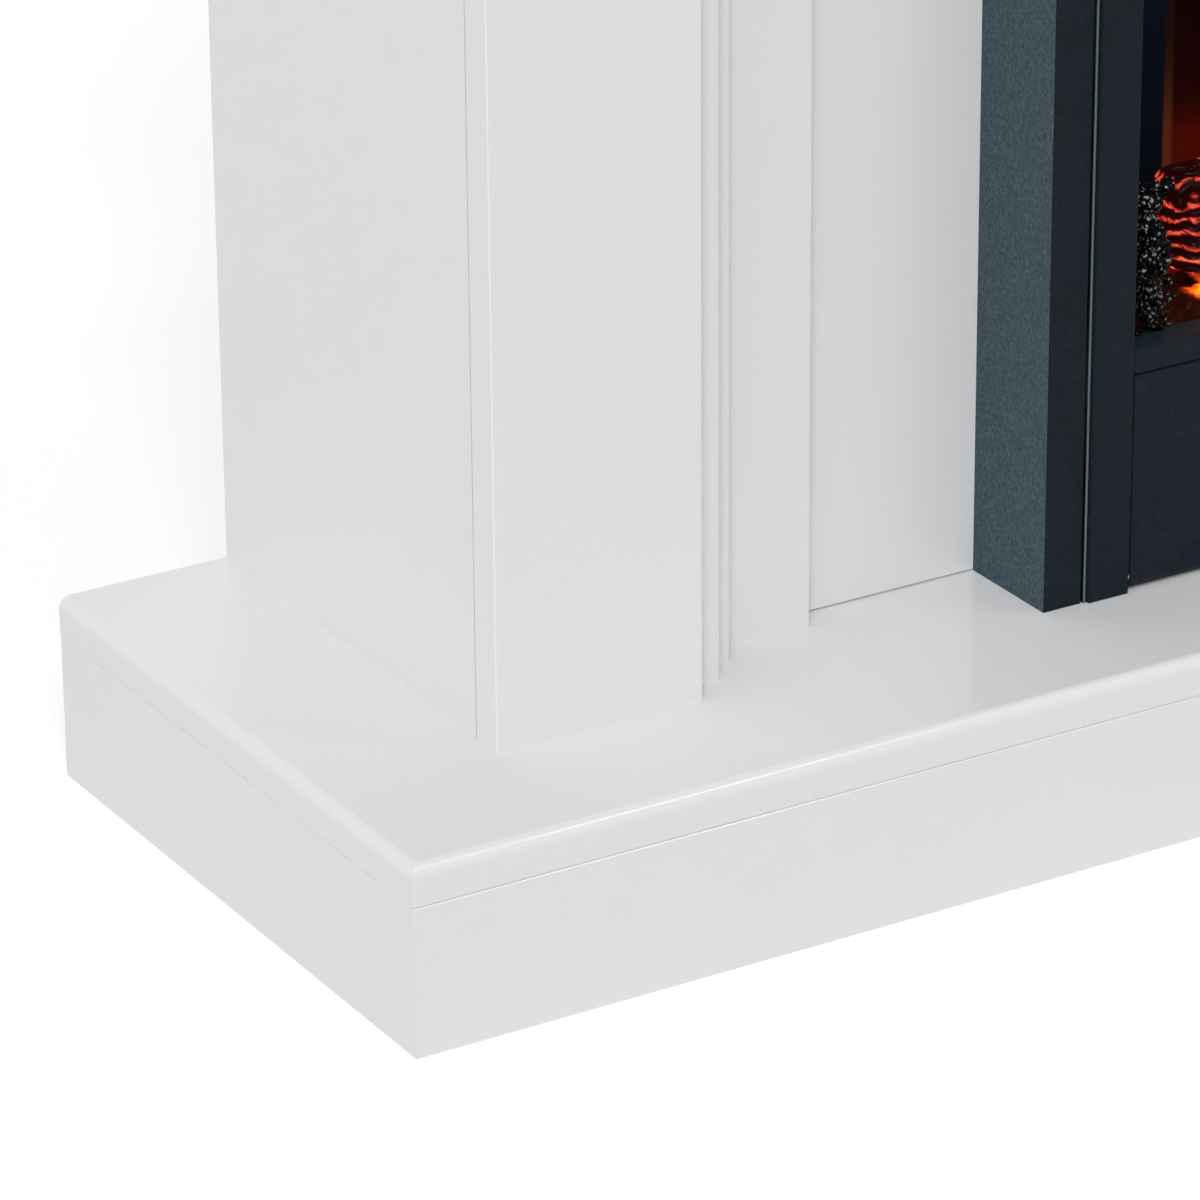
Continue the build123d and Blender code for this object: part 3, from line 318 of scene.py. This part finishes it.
def glowing_log():
    """Clear resin log, charred outside, whose grain shows as bright red and orange streaks."""
    streak_pitch, streak_slope = 760.0, -190.0  # radians of the grain's wave per metre, upward and sideways
    lit_height = 90 * MM
    s = Shader("log_ceramic", Specular_IOR_Level=0.10)
    bend = s.noise(1.0, 3.0, 0.5, s.scaled(28.0, 28.0, 28.0), 0.6)
    upward = s.math("MULTIPLY", s.axis("Z"), streak_pitch)
    grain = s.math("ADD", upward, s.math("MULTIPLY", s.axis("X"), streak_slope))
    rings = s.math("SINE", s.math("ADD", grain, s.math("MULTIPLY", bend, 26.0)))
    cracks = s.noise(1.0, 4.0, 0.55, s.scaled(90.0, 140.0, 260.0), 1.4)
    line = s.between(rings, 0.25, 0.95)
    broken = s.between(cracks, 0.36, 0.56)
    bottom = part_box("logs")[0][2]
    from_bed = s.between(s.axis("Z"), bottom, bottom + lit_height, 1.0, 0.72)
    heat = s.math("MULTIPLY", s.math("MULTIPLY", line, broken), from_bed)
    glow = s.ramp(
        heat,
        (0.0, (0.012, 0.0006, 0.0006)),
        (0.15, (0.05, 0.002, 0.002)),
        (0.45, (0.42, 0.026, 0.014)),
        (0.80, (0.72, 0.070, 0.040)),
        (1.0, (0.90, 0.24, 0.09)),
    )
    return s.use(
        Base_Color=s.mix(heat, (0.003, 0.0015, 0.0015), (0.10, 0.012, 0.008)),
        Roughness=s.between(cracks, 0.3, 0.7, 0.18, 0.5),
        Emission_Color=glow,
        Emission_Strength=1.1,
        Normal=s.bump(cracks, 0.5, 1.5 * MM, s.bump(rings, 0.7, 4 * MM)),
    )


def black_coal():
    """Moulded resin coal: broken facets, with painted highlights: pale specks in the base colour, thinned
    out lower in the heap as painted shade.
    """
    shaded_depth, open_depth = 75 * MM, 10 * MM
    s = Shader("coal_resin", Specular_IOR_Level=0.15)
    fine = s.noise(900.0, 4.0, 0.7)
    relief = s.bump(fine, 0.9, 1.2 * MM, s.bump(s.voronoi(430.0), 1.0, 3 * MM))
    # painted highlights: pale specks in the base colour stand in for the facets' glitter
    painted_speck = s.between(s.voronoi(760.0, output="Color"), 0.735, 0.80)
    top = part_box("coals")[1][2]
    # painted shade: fewer pale specks lower in the heap, where shade falls
    speck_shade_fade = s.between(s.axis("Z"), top - shaded_depth, top - open_depth, 0.25, 1.0)
    base = s.mix(s.math("MULTIPLY", painted_speck, speck_shade_fade), (0.0012, 0.0012, 0.0016), (0.50, 0.50, 0.52))
    return s.use(Base_Color=base, Roughness=s.between(fine, 0.35, 0.65, 0.08, 0.35), Normal=relief)


def ember_resin():
    """Resin embers lit from below: yellow where thin, red further up, black where ash is painted on."""
    glow_half, ash_half = 62 * MM, 38 * MM  # from the bed's end, inward
    s = Shader("ember_resin", Specular_IOR_Level=0.15)
    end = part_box("ember_bed")[1][0]
    lumps = s.voronoi(95.0, "SMOOTH_F1")
    fine = s.noise(170.0, 4.0, 0.6)
    lumpy = s.math("MULTIPLY", s.between(lumps, 0.15, 0.75), 0.65)
    thin = s.math("ADD", lumpy, s.math("MULTIPLY", fine, 0.5))
    ash = s.between(s.math("ABSOLUTE", s.axis("X")), end - glow_half, end - ash_half, 0.0, 0.70)
    glow = s.ramp(
        s.math("SUBTRACT", thin, ash),
        (0.30, (0.002, 0.0005, 0.0003)),
        (0.45, (0.16, 0.008, 0.002)),
        (0.6, (0.9, 0.10, 0.006)),
        (0.75, (1.0, 0.42, 0.02)),
        (0.92, (1.0, 0.82, 0.10)),
    )
    return s.use(
        Base_Color=s.mix(fine, (0.004, 0.002, 0.002), (0.035, 0.006, 0.003)),
        Roughness=s.between(fine, 0.3, 0.7, 0.15, 0.4),
        Emission_Color=glow,
        Emission_Strength=1.3,
        Normal=s.bump(lumps, 0.8, 3 * MM),
    )


def stage_floor():
    """White paper for the stage only, which also glows a little to the camera."""
    seen_glow = 0.42
    s = Shader("floor_paper")
    seen = s.node("LightPath").outputs["Is Camera Ray"]
    return s.use(
        Base_Color=varied(s, (0.72, 0.72, 0.72), 0.004, 2.0),
        Roughness=0.75,
        Emission_Color=(1.0, 1.0, 1.0, 1.0),
        Emission_Strength=s.math("MULTIPLY", seen, seen_glow),
        Normal=s.bump(s.noise(300.0), 0.03, 0.3 * MM),
    )


def make_materials():
    """One material for each slot of the record."""
    anthracite, haze = (0.0062, 0.0098, 0.0150), (0.0105, 0.0165, 0.0235)
    return {
        "white_lacquer": white_lacquer(),
        "carcass_board": carcass_board(),
        "zinc_steel": plated("zinc_steel", (0.62, 0.62, 0.60), 0.35),
        # the trim's side faces carry painted light
        "trim_coat": powder_coat("trim_coat", anthracite, haze, 0.42, painted_lit_returns=True),
        "frame_coat": powder_coat("frame_coat", anthracite, haze, 0.40, relief=0.18),
        "flap_coat": powder_coat("flap_coat", anthracite, haze, 0.40, relief=0.18),
        "black_sheet": matt_black("black_sheet"),
        "cheek_sheet": matt_black("cheek_sheet", (0.004, 0.005, 0.008), 0.22),
        "roof_sheet": matt_black("roof_sheet", (0.008, 0.008, 0.009), 0.5),
        "pin_steel": plated("pin_steel", (0.66, 0.66, 0.66), 0.25, (40.0, 500.0, 500.0)),
        "magnet": moulded("magnet", (0.02, 0.02, 0.022), 0.5),
        "housing_plastic": moulded("housing_plastic", (0.014, 0.014, 0.015), 0.45),
        "rocker_plastic": moulded("rocker_plastic", (0.010, 0.010, 0.011), 0.22, 0.05),
        "dial_plastic": moulded("dial_plastic", (0.016, 0.016, 0.017), 0.38),
        "flame_glass": flame_screen_glass(),
        "grille_coat": matt_black("grille_coat", (0.010, 0.011, 0.013), 0.45),
        "ember_resin": ember_resin(),
        "log_ceramic": glowing_log(),
        "coal_resin": black_coal(),
        "spindle_foil": plated("spindle_foil", (0.80, 0.80, 0.82), 0.18, (60.0, 200.0, 200.0)),
        "bright_bead": plated("bright_bead", (0.18, 0.25, 0.26), 0.3, (60.0, 60.0, 20.0)),
        "bush_brass": plated("bush_brass", (0.65, 0.46, 0.20), 0.35, (400.0, 400.0, 400.0)),
        "motor_steel": plated("motor_steel", (0.58, 0.58, 0.57), 0.38, (200.0, 60.0, 60.0)),
        "led_board": circuit_board("led_board", (0.75, 0.76, 0.74)),
        "control_board": circuit_board("control_board", (0.02, 0.12, 0.05)),
        "heater_sheet": plated("heater_sheet", (0.55, 0.56, 0.57), 0.42, (90.0, 90.0, 90.0), 0.45),
        "element_wire": plated("element_wire", (0.52, 0.52, 0.52), 0.35),
        "blower_aluminium": plated("blower_aluminium", (0.66, 0.66, 0.67), 0.32),
        "foot_rubber": moulded("foot_rubber", (0.012, 0.012, 0.012), 0.75, 0.4),
        "gland_plastic": moulded("gland_plastic", (0.013, 0.013, 0.014), 0.4),
    }


# ------------------------------------------------------------------ camera, lights and floor
def make_camera():
    """A long lens from the left, above and in front, level but for a slight roll, with no lens shift."""
    sensor, focal = 36.0, 197.69  # millimetres
    turn, tip, roll = 30.669, 24.007, -0.4894  # degrees
    back_off = (-1.37505, -2.49864, 1.51479)  # metres from the object's lower left front corner
    data = bpy.data.cameras.new("camera")
    data.sensor_width, data.lens = sensor, focal
    data.clip_end = 50.0
    camera = bpy.data.objects.new("camera", data)
    bpy.context.scene.collection.objects.link(camera)
    aim = Matrix.Rotation(math.radians(-turn), 4, "Z")
    aim @= Matrix.Rotation(math.radians(90 - tip), 4, "X")
    aim @= Matrix.Rotation(math.radians(roll), 4, "Z")
    place = Vector(corner + step for corner, step in zip(cad_box[0], back_off))
    camera.matrix_world = Matrix.Translation(place) @ aim
    bpy.context.scene.camera = camera


def make_world():
    """An even dim studio with one bright wall for glossy faces to reflect. The camera sees plain white."""
    wall_direction = (0.466, 0.786, 0.407)
    wall_edge, wall_middle = 0.88, 0.975  # cosines of the angle from the wall's middle
    dim, bright = 0.41, 0.95
    world = bpy.data.worlds.new("studio")
    bpy.context.scene.world = world
    world.use_nodes = True
    nodes, links = world.node_tree.nodes, world.node_tree.links
    background = nodes["Background"]
    background.inputs["Color"].default_value = (1.0, 1.0, 1.0, 1.0)
    toward = nodes.new("ShaderNodeVectorMath")
    toward.operation = "DOT_PRODUCT"
    links.new(nodes.new("ShaderNodeTexCoord").outputs["Generated"], toward.inputs[0])
    toward.inputs[1].default_value = wall_direction
    wall = nodes.new("ShaderNodeMapRange")
    wall.interpolation_type = "SMOOTHSTEP"
    for socket, value in zip(list(wall.inputs)[1:5], (wall_edge, wall_middle, dim, bright)):
        socket.default_value = value
    links.new(toward.outputs["Value"], wall.inputs[0])
    backdrop = nodes.new("ShaderNodeMath")
    backdrop.operation = "MAXIMUM"
    links.new(wall.outputs[0], backdrop.inputs[0])
    links.new(nodes.new("ShaderNodeLightPath").outputs["Is Camera Ray"], backdrop.inputs[1])
    links.new(backdrop.outputs[0], background.inputs["Strength"])


def make_lamps():
    """Broad light from above in front and from the left, and a faint sharper one from the right."""
    target, distance = Vector((0, 0, 0.3)), 3
    for name, direction, spread, strength in (
        ("front_softbox", (-0.379, -0.639, 0.669), 20.0, 1.63),
        ("left_softbox", (-0.97, -0.15, 0.20), 50.0, 0.70),
        ("key_lamp", (0.466, -0.407, 0.786), 4.0, 0.11),
    ):
        data = bpy.data.lights.new(name, "SUN")
        data.angle = math.radians(spread)
        data.energy = strength
        lamp = bpy.data.objects.new(name, data)
        bpy.context.scene.collection.objects.link(lamp)
        lamp.location = target + Vector(direction) * distance
        lamp.rotation_euler = Vector(direction).to_track_quat("Z", "Y").to_euler()


def make_floor(material):
    half = 12.0
    mesh = bpy.data.meshes.new("floor")
    corners = [(-half, -half, 0), (half, -half, 0), (half, half, 0), (-half, half, 0)]
    mesh.from_pydata(corners, [], [(0, 1, 2, 3)])
    floor = bpy.data.objects.new("floor", mesh)
    floor.location.z = cad_box[0][2]
    bpy.context.scene.collection.objects.link(floor)
    mesh.materials.append(material)


# ------------------------------------------------------------------ mesh helpers
def piece_from(name, mesh_data, material, body, replaced, sharp):
    """Turns a bmesh into a named, smooth-shaded piece, which rides on a body in place of CAD nodes."""
    mesh = bpy.data.meshes.new(name)
    mesh_data.to_mesh(mesh)
    mesh_data.free()
    made = bpy.data.objects.new(name, mesh)
    bpy.context.scene.collection.objects.link(made)
    mesh.materials.append(material)
    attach(made, body)
    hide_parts(*replaced)
    for polygon in mesh.polygons:
        polygon.use_smooth = True
    mesh.set_sharp_from_angle(angle=math.radians(sharp))


def join_rings(mesh_data, rings):
    """Faces between one ring of points and the next."""
    around = len(rings[0])
    for one, two in zip(rings, rings[1:]):
        for step in range(around):
            nxt = (step + 1) % around
            mesh_data.faces.new((one[step], one[nxt], two[nxt], two[step]))


def solids_of(node):
    """The separate solids of a node, each as its list of points."""
    mesh_data = bmesh.new()
    mesh_data.from_mesh(frame["nodes"][node].data)
    bmesh.ops.remove_doubles(mesh_data, verts=mesh_data.verts, dist=SAME_POINT)
    left, found = set(mesh_data.verts), []
    while left:
        stack, island = [left.pop()], []
        while stack:
            vertex = stack.pop()
            island.append(vertex.co.copy())
            for edge in vertex.link_edges:
                other = edge.other_vert(vertex)
                if other in left:
                    left.discard(other)
                    stack.append(other)
        found.append(island)
    mesh_data.free()
    return sorted(found, key=rounded_centre)


def rounded_centre(points):
    return tuple(round(sum(p[i] for p in points) / len(points), 5) for i in range(3))


# ------------------------------------------------------------------ logs, coals and embers
def end_of_log(points, tip, inward):
    """The middle and the radius of a log's end face."""
    reach, thickness = 80 * MM, 12 * MM
    face = [p for p in points if (p - tip).length < reach and inward * (p.x - tip.x) < thickness]
    middle = sum(face, Vector()) / len(face)
    return middle, max((p - middle).length for p in face)


def log_mesh(mesh_data, points, seed):
    """One split log inside its solid's length and girth: knotty, furrowed along the grain, ragged ends."""
    rows, around = 90, 96
    end_share, end_radius = 0.06, 0.62  # how much of the length rounds off, and to what share of the radius
    rng = random.Random(seed)
    a, r0 = end_of_log(points, min(points, key=lambda p: p.x), 1)
    b, r1 = end_of_log(points, max(points, key=lambda p: p.x), -1)
    along = (b - a).normalized()
    side = along.cross(Vector((0, 0, 1))).normalized()
    up = side.cross(along)
    offset = Vector((rng.random() * 40, rng.random() * 40, rng.random() * 40))
    rings = []
    for row in range(rows + 1):
        t = row / rows
        ring = []
        for step in range(around):
            angle = 2 * math.pi * step / around
            direction = side * math.cos(angle) + up * math.sin(angle)
            radius = (r0 + (r1 - r0) * t) * 0.95
            where = Vector((math.cos(angle), math.sin(angle), t * 3.2)) + offset
            furrow = noise.fractal(Vector((where.x * 5.0, where.y * 5.0, where.z * 0.9)), 0.8, 2.2, 4)
            knot = noise.fractal(where * 1.1, 1.0, 2.0, 2)
            radius *= 0.93 + 0.05 * knot + 0.055 * min(0.9, max(-1.6, furrow))
            if 0 < t < 1:
                radius *= end_radius + (1 - end_radius) * min(1.0, (min(t, 1 - t) / end_share)) ** 0.45
            else:
                radius *= 0.6
            inset = 2 * MM * noise.noise(Vector((angle * 2, t * 9, seed)))
            spot = a.lerp(b, t) + direction * radius + along * inset * (1 - abs(2 * t - 1))
            ring.append(mesh_data.verts.new(spot))
        rings.append(ring)
    join_rings(mesh_data, rings)
    cap_end(mesh_data, rings[0][::-1], a, -along)
    cap_end(mesh_data, rings[-1], b, along)


def cap_end(mesh_data, ring, centre, outward):
    """Closes a log's end with rings that shrink towards its middle, dented a little."""
    rings = [ring]
    for shrink in (0.8, 0.55, 0.3):
        new = []
        for vertex in ring:
            spot = centre.lerp(vertex.co, shrink)
            depth = 1.6 * MM * noise.noise(spot * 260) - 1.2 * MM * (1 - shrink)
            new.append(mesh_data.verts.new(spot + outward * depth))
        rings.append(new)
    join_rings(mesh_data, rings)
    hub = mesh_data.verts.new(centre)
    for one, two in zip(rings[-1], rings[-1][1:] + rings[-1][:1]):
        mesh_data.faces.new((one, two, hub))


def make_logs(material):
    mesh_data = bmesh.new()
    for number, points in enumerate(solids_of("logs")):
        log_mesh(mesh_data, points, number + 3)
    bmesh.ops.recalc_face_normals(mesh_data, faces=mesh_data.faces)
    piece_from("charred_logs", mesh_data, material, ROOT, ("logs",), sharp=50)


def rock(mesh_data, centre, size, seed, squash=1.0, detail=3):
    """A broken lump: a ball cut by random planes, then roughened."""
    cut_count, shallow, deep = 11, 0.9, 0.55
    rng = random.Random(seed)
    made = bmesh.ops.create_icosphere(mesh_data, subdivisions=detail, radius=1.0)["verts"]
    cuts = []
    for _ in range(cut_count):
        direction = Vector((rng.gauss(0, 1), rng.gauss(0, 1), rng.gauss(0, 1))).normalized()
        cuts.append((direction, rng.uniform(deep, shallow)))
    for vertex in made:
        spot = vertex.co.copy()
        for direction, depth in cuts:
            over = spot.dot(direction) - depth
            if over > 0:
                spot -= direction * over
        spot += spot.normalized() * 0.10 * noise.noise(spot * 3.2 + Vector((seed, 0, 0)))
        spot += spot.normalized() * 0.06 * noise.noise(spot * 9.0 + Vector((0, seed, 0)))
        vertex.co = centre + Vector((spot.x, spot.y, spot.z * squash)) * size


def make_coals(material):
    """Two heaps of broken coal that fill the corners beside the logs."""
    chips_each = 9
    mesh_data = bmesh.new()
    rng = random.Random(11)
    for number, points in enumerate(solids_of("coals")):
        centre = sum(points, Vector()) / len(points)
        rock(mesh_data, centre, rng.uniform(7.6, 9.0) * MM, 40 + number)
        for chip in range(chips_each):
            spread = Vector((rng.uniform(-8, 8), rng.uniform(-7, 5), rng.uniform(-10, 10))) * MM
            rock(mesh_data, centre + spread, rng.uniform(3.0, 5.4) * MM, 200 + 7 * number + chip, detail=2)
    piece_from("broken_coals", mesh_data, material, ROOT, ("coals",), sharp=28)


def make_embers(material):
    """The ember bed: the moulded bed's own slope, heaped with lumps."""
    columns, rows, lump_count = 150, 30, 150
    slope = 0.35
    front_gap, rear_gap = 1 * MM, 45 * MM  # between the bed's edge and the node's box, at either end
    low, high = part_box("ember_bed")
    depth = high[1] - low[1]
    front_half, rear_half = high[0] - front_gap, high[0] - rear_gap
    front_z = high[2] - slope * depth
    mesh_data = bmesh.new()
    rng = random.Random(5)
    grid = []
    for row in range(rows + 1):
        t = row / rows
        y = low[1] + depth * t
        half = front_half + (rear_half - front_half) * t
        line = []
        for column in range(columns + 1):
            x = -half + 2 * half * column / columns
            nearest = noise.voronoi(Vector((x * 62, y * 62, 0)))[0][0]
            grit = 0.8 * MM * noise.noise(Vector((x, y, 0)) * 320)
            top = front_z + slope * (y - low[1]) - 1.5 * MM + 4.0 * MM * (0.55 - nearest) + grit
            line.append(mesh_data.verts.new((x, y, min(top, high[2]))))
        grid.append(line)
    for one, two in zip(grid, grid[1:]):
        for column in range(columns):
            mesh_data.faces.new((one[column], one[column + 1], two[column + 1], two[column]))
    rim = [grid[0][c] for c in range(columns + 1)] + [grid[r][-1] for r in range(1, rows + 1)]
    rim += [grid[-1][c] for c in range(columns - 1, -1, -1)] + [grid[r][0] for r in range(rows - 1, 0, -1)]
    foot = [mesh_data.verts.new((v.co.x, v.co.y, low[2])) for v in rim]
    for index in range(len(rim)):
        nxt = (index + 1) % len(rim)
        mesh_data.faces.new((rim[index], foot[index], foot[nxt], rim[nxt]))
    mesh_data.faces.new(list(reversed(foot)))
    for number in range(lump_count):
        t = rng.random()
        y = low[1] + 5 * MM + (depth - 12 * MM) * t
        half = front_half + (rear_half - front_half) * t - 9 * MM
        x = rng.uniform(-half, half)
        top = front_z + slope * (y - low[1])
        rock(mesh_data, Vector((x, y, top - 2.0 * MM)), rng.uniform(3.0, 5.5) * MM, 600 + number, 0.75, 2)
    piece_from("glowing_embers", mesh_data, material, ROOT, ("ember_bed",), sharp=45)


# ------------------------------------------------------------------ screws
def screw_profile(length, shank_r, head_r):
    """Radius and height of each ring of a fastener, from its tip. A dowel has no head: head_r is None."""
    pitch, thread_start, thread_height, root = 1.4 * MM, 0.8 * MM, 0.9 * MM, 0.78
    head_h = 2.2 * MM if head_r else 0.0
    shoulder = length - head_h
    profile = [(0.0, 0.0), (shank_r * 0.4, 0.5 * MM)]
    for turn in range(int(shoulder / pitch)):
        base = thread_start + turn * pitch
        if base + thread_height < shoulder:
            profile += [
                (shank_r * root, base),
                (shank_r, base + thread_height / 2),
                (shank_r * root, base + thread_height),
            ]
    profile.append((shank_r * 0.8, shoulder))
    if not head_r:
        return profile + [(0.0, length)]
    return profile + [
        (head_r, shoulder),
        (head_r, shoulder + 0.7 * MM),
        (head_r * 0.93, length - 0.75 * MM),
        (head_r * 0.72, length - 0.25 * MM),
        (head_r * 0.45, length - 0.05 * MM),
        (head_r * 0.2, length),
        (0.0, length),
    ]


def screw_heads(name, node, material):
    """Pan-head screws in place of a node's plain ones: domed head, cross recess, threaded shank."""
    around, slot_half, slot_depth = 32, 0.55 * MM, 1.1 * MM
    mesh_data = bmesh.new()
    for points in solids_of(node):
        low = Vector(min(p[i] for p in points) for i in range(3))
        high = Vector(max(p[i] for p in points) for i in range(3))
        size, centre = high - low, (low + high) / 2
        axis = max(range(3), key=lambda i: size[i])
        across = [i for i in range(3) if i != axis]
        head_r = max(size[i] for i in across) / 2
        radius_at = {}
        for end in (low[axis], high[axis]):
            near = [p for p in points if abs(p[axis] - end) < 1e-5]
            radius_at[end] = max(math.hypot(*(p[i] - centre[i] for i in across)) for p in near)
        tip, head = sorted(radius_at, key=lambda end: radius_at[end])
        way = 1 if head > tip else -1
        length, shank_r = abs(head - tip), radius_at[tip]
        has_head = radius_at[head] > 1.3 * shank_r
        rings = []
        for radius, along in screw_profile(length, shank_r, head_r if has_head else None):
            ring = []
            for step in range(around):
                angle = 2 * math.pi * step / around
                from_arm = min(abs(math.cos(angle)), abs(math.sin(angle))) * radius
                on_top = has_head and along > length - 1.0 * MM and radius < head_r * 0.6
                depth = length - slot_depth if on_top and from_arm < slot_half else along
                spot = centre.copy()
                spot[axis] = tip + way * depth
                spot[across[0]] += radius * math.cos(angle)
                spot[across[1]] += radius * math.sin(angle)
                ring.append(mesh_data.verts.new(spot))
            rings.append(ring)
        join_rings(mesh_data, rings)
    bmesh.ops.remove_doubles(mesh_data, verts=mesh_data.verts, dist=SAME_POINT)
    bmesh.ops.recalc_face_normals(mesh_data, faces=mesh_data.faces)
    piece_from(name, mesh_data, material, ROOT, (node,), sharp=35)


# ------------------------------------------------------------------ build
def dress_nodes(materials):
    """Gives every CAD node the material of its slot."""
    for entry in frame["record"]["subparts"]:
        mesh = frame["nodes"][entry["node"]].data
        mesh.materials.clear()
        mesh.materials.append(materials[entry["material_slot"]])


bpy.context.scene.view_settings.view_transform = "Standard"
make_camera()
materials = make_materials()
make_world()
make_lamps()
make_floor(stage_floor())
dress_nodes(materials)
make_logs(materials["log_ceramic"])
make_coals(materials["coal_resin"])
make_embers(materials["ember_resin"])
screw_heads("fire_screw_set", "fire_screws", materials["zinc_steel"])
screw_heads("surround_screw_set", "surround_fixings", materials["zinc_steel"])
